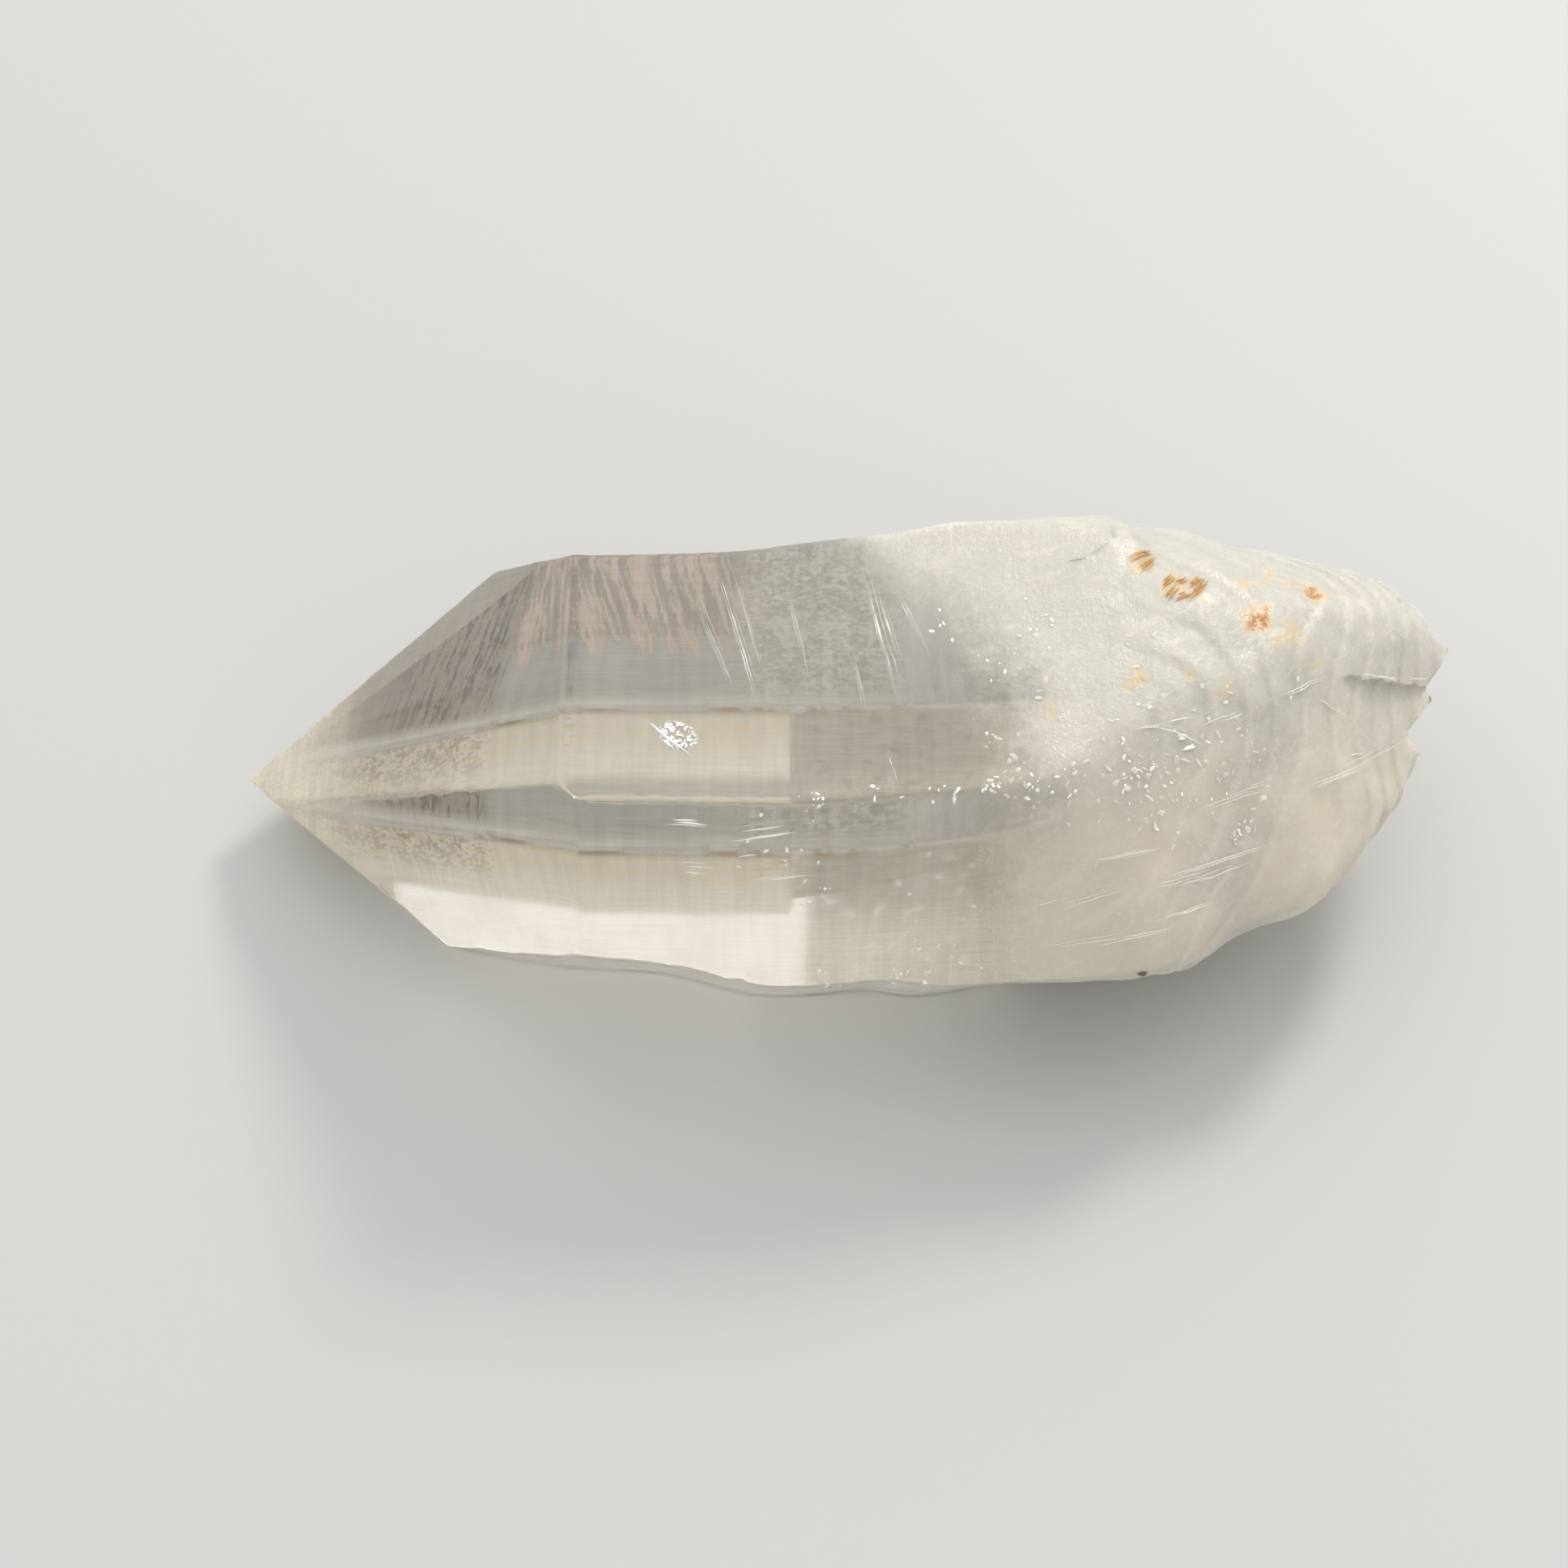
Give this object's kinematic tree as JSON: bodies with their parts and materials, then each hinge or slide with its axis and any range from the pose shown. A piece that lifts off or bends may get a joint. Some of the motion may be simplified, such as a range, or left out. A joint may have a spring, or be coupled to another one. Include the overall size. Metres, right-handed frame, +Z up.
{
  "type": "quartz crystal",
  "caption": "Six-sided quartz crystal lying on its side, with a clear slanting point at one end and a milky, iron-stained, broken base at the other.",
  "frame": {"origin": "middle of the box's underside, in the plane of the prism face that the crystal lies on", "axes": "+X along the growth axis from the point to the broken base, +Y across the crystal towards its back, +Z up from the face that it lies on"},
  "size_m": [0.1332, 0.0554, 0.0363],
  "materials": {
    "quartz": "smooth, glassy and clear on the point and its prism faces; milky white to beige with a duller surface and orange-brown iron stains on the base"
  },
  "bodies": {
    "root": {"quartz_crystal": "quartz"}
  },
  "joints": []
}
